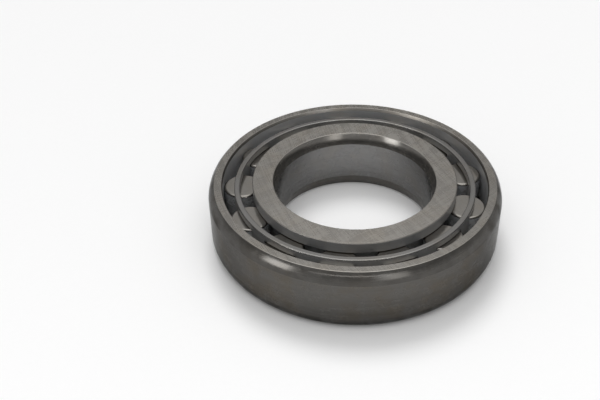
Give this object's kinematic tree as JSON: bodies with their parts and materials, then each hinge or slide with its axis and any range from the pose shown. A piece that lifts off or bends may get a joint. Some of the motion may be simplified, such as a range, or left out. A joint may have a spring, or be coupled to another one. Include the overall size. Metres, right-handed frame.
{
  "type": "cylindrical roller bearing",
  "caption": "Single-row cylindrical roller bearing with a ribless outer ring, a two-ribbed inner ring, a one-piece window cage and rollers that roll between the rings.",
  "frame": {"origin": "the bearing's centre: on its axis of rotation, midway between the side faces", "axes": "+Z along the axis of rotation; both sides are alike, so its sign is free; +X and +Y lie in the mid-plane"},
  "size_m": [0.085, 0.085, 0.019],
  "materials": {
    "outer_ring_steel": "hardened bearing steel, ground faces and seat, turned corners, light oil film",
    "inner_ring_steel": "hardened bearing steel, ground faces and bore, honed raceway, light oil film",
    "cage_steel": "pressed mild steel, tumbled satin",
    "roller_steel": "hardened bearing steel, superfinished barrel, ground end faces"
  },
  "bodies": {
    "outer_ring": {"outer_ring": "outer_ring_steel"},
    "inner_ring": {"inner_ring": "inner_ring_steel"},
    "cage": {"cage": "cage_steel"},
    "roller_01": {"roller_01": "roller_steel"},
    "roller_02": {"roller_02": "roller_steel"},
    "roller_03": {"roller_03": "roller_steel"},
    "roller_04": {"roller_04": "roller_steel"},
    "roller_05": {"roller_05": "roller_steel"},
    "roller_06": {"roller_06": "roller_steel"},
    "roller_07": {"roller_07": "roller_steel"},
    "roller_08": {"roller_08": "roller_steel"},
    "roller_09": {"roller_09": "roller_steel"},
    "roller_10": {"roller_10": "roller_steel"},
    "roller_11": {"roller_11": "roller_steel"},
    "roller_12": {"roller_12": "roller_steel"},
    "roller_13": {"roller_13": "roller_steel"}
  },
  "joints": [
    {"name": "inner_ring_spin", "type": "hinge", "parent": "outer_ring", "child": "inner_ring", "pos_m": [0, 0, 0], "axis": [0, 0, 1], "continuous": true},
    {"name": "cage_spin", "type": "hinge", "parent": "outer_ring", "child": "cage", "pos_m": [0, 0, 0], "axis": [0, 0, 1], "continuous": true},
    {"name": "roller_01_spin", "type": "hinge", "parent": "cage", "child": "roller_01", "pos_m": [0.03182, -0.00776, 0], "axis": [0, 0, 1], "continuous": true},
    {"name": "roller_02_spin", "type": "hinge", "parent": "cage", "child": "roller_02", "pos_m": [0.03178, 0.00792, 0], "axis": [0, 0, 1], "continuous": true},
    {"name": "roller_03_spin", "type": "hinge", "parent": "cage", "child": "roller_03", "pos_m": [0.02446, 0.02178, 0], "axis": [0, 0, 1], "continuous": true},
    {"name": "roller_04_spin", "type": "hinge", "parent": "cage", "child": "roller_04", "pos_m": [0.01154, 0.03065, 0], "axis": [0, 0, 1], "continuous": true},
    {"name": "roller_05_spin", "type": "hinge", "parent": "cage", "child": "roller_05", "pos_m": [-0.00403, 0.0325, 0], "axis": [0, 0, 1], "continuous": true},
    {"name": "roller_06_spin", "type": "hinge", "parent": "cage", "child": "roller_06", "pos_m": [-0.01867, 0.02691, 0], "axis": [0, 0, 1], "continuous": true},
    {"name": "roller_07_spin", "type": "hinge", "parent": "cage", "child": "roller_07", "pos_m": [-0.02904, 0.01515, 0], "axis": [0, 0, 1], "continuous": true},
    {"name": "roller_08_spin", "type": "hinge", "parent": "cage", "child": "roller_08", "pos_m": [-0.03275, -0.00008, 0], "axis": [0, 0, 1], "continuous": true},
    {"name": "roller_09_spin", "type": "hinge", "parent": "cage", "child": "roller_09", "pos_m": [-0.02896, -0.01529, 0], "axis": [0, 0, 1], "continuous": true},
    {"name": "roller_10_spin", "type": "hinge", "parent": "cage", "child": "roller_10", "pos_m": [-0.01854, -0.027, 0], "axis": [0, 0, 1], "continuous": true},
    {"name": "roller_11_spin", "type": "hinge", "parent": "cage", "child": "roller_11", "pos_m": [-0.00386, -0.03252, 0], "axis": [0, 0, 1], "continuous": true},
    {"name": "roller_12_spin", "type": "hinge", "parent": "cage", "child": "roller_12", "pos_m": [0.01169, -0.03059, 0], "axis": [0, 0, 1], "continuous": true},
    {"name": "roller_13_spin", "type": "hinge", "parent": "cage", "child": "roller_13", "pos_m": [0.02457, -0.02165, 0], "axis": [0, 0, 1], "continuous": true}
  ],
  "couplings": [
    {"joint": "cage_spin", "follows": "inner_ring_spin", "ratio": 0.41603},
    {"joint": "roller_01_spin", "follows": "inner_ring_spin", "ratio": -2.8933},
    {"joint": "roller_02_spin", "follows": "inner_ring_spin", "ratio": -2.8933},
    {"joint": "roller_03_spin", "follows": "inner_ring_spin", "ratio": -2.8933},
    {"joint": "roller_04_spin", "follows": "inner_ring_spin", "ratio": -2.8933},
    {"joint": "roller_05_spin", "follows": "inner_ring_spin", "ratio": -2.8933},
    {"joint": "roller_06_spin", "follows": "inner_ring_spin", "ratio": -2.8933},
    {"joint": "roller_07_spin", "follows": "inner_ring_spin", "ratio": -2.8933},
    {"joint": "roller_08_spin", "follows": "inner_ring_spin", "ratio": -2.8933},
    {"joint": "roller_09_spin", "follows": "inner_ring_spin", "ratio": -2.8933},
    {"joint": "roller_10_spin", "follows": "inner_ring_spin", "ratio": -2.8933},
    {"joint": "roller_11_spin", "follows": "inner_ring_spin", "ratio": -2.8933},
    {"joint": "roller_12_spin", "follows": "inner_ring_spin", "ratio": -2.8933},
    {"joint": "roller_13_spin", "follows": "inner_ring_spin", "ratio": -2.8933}
  ]
}
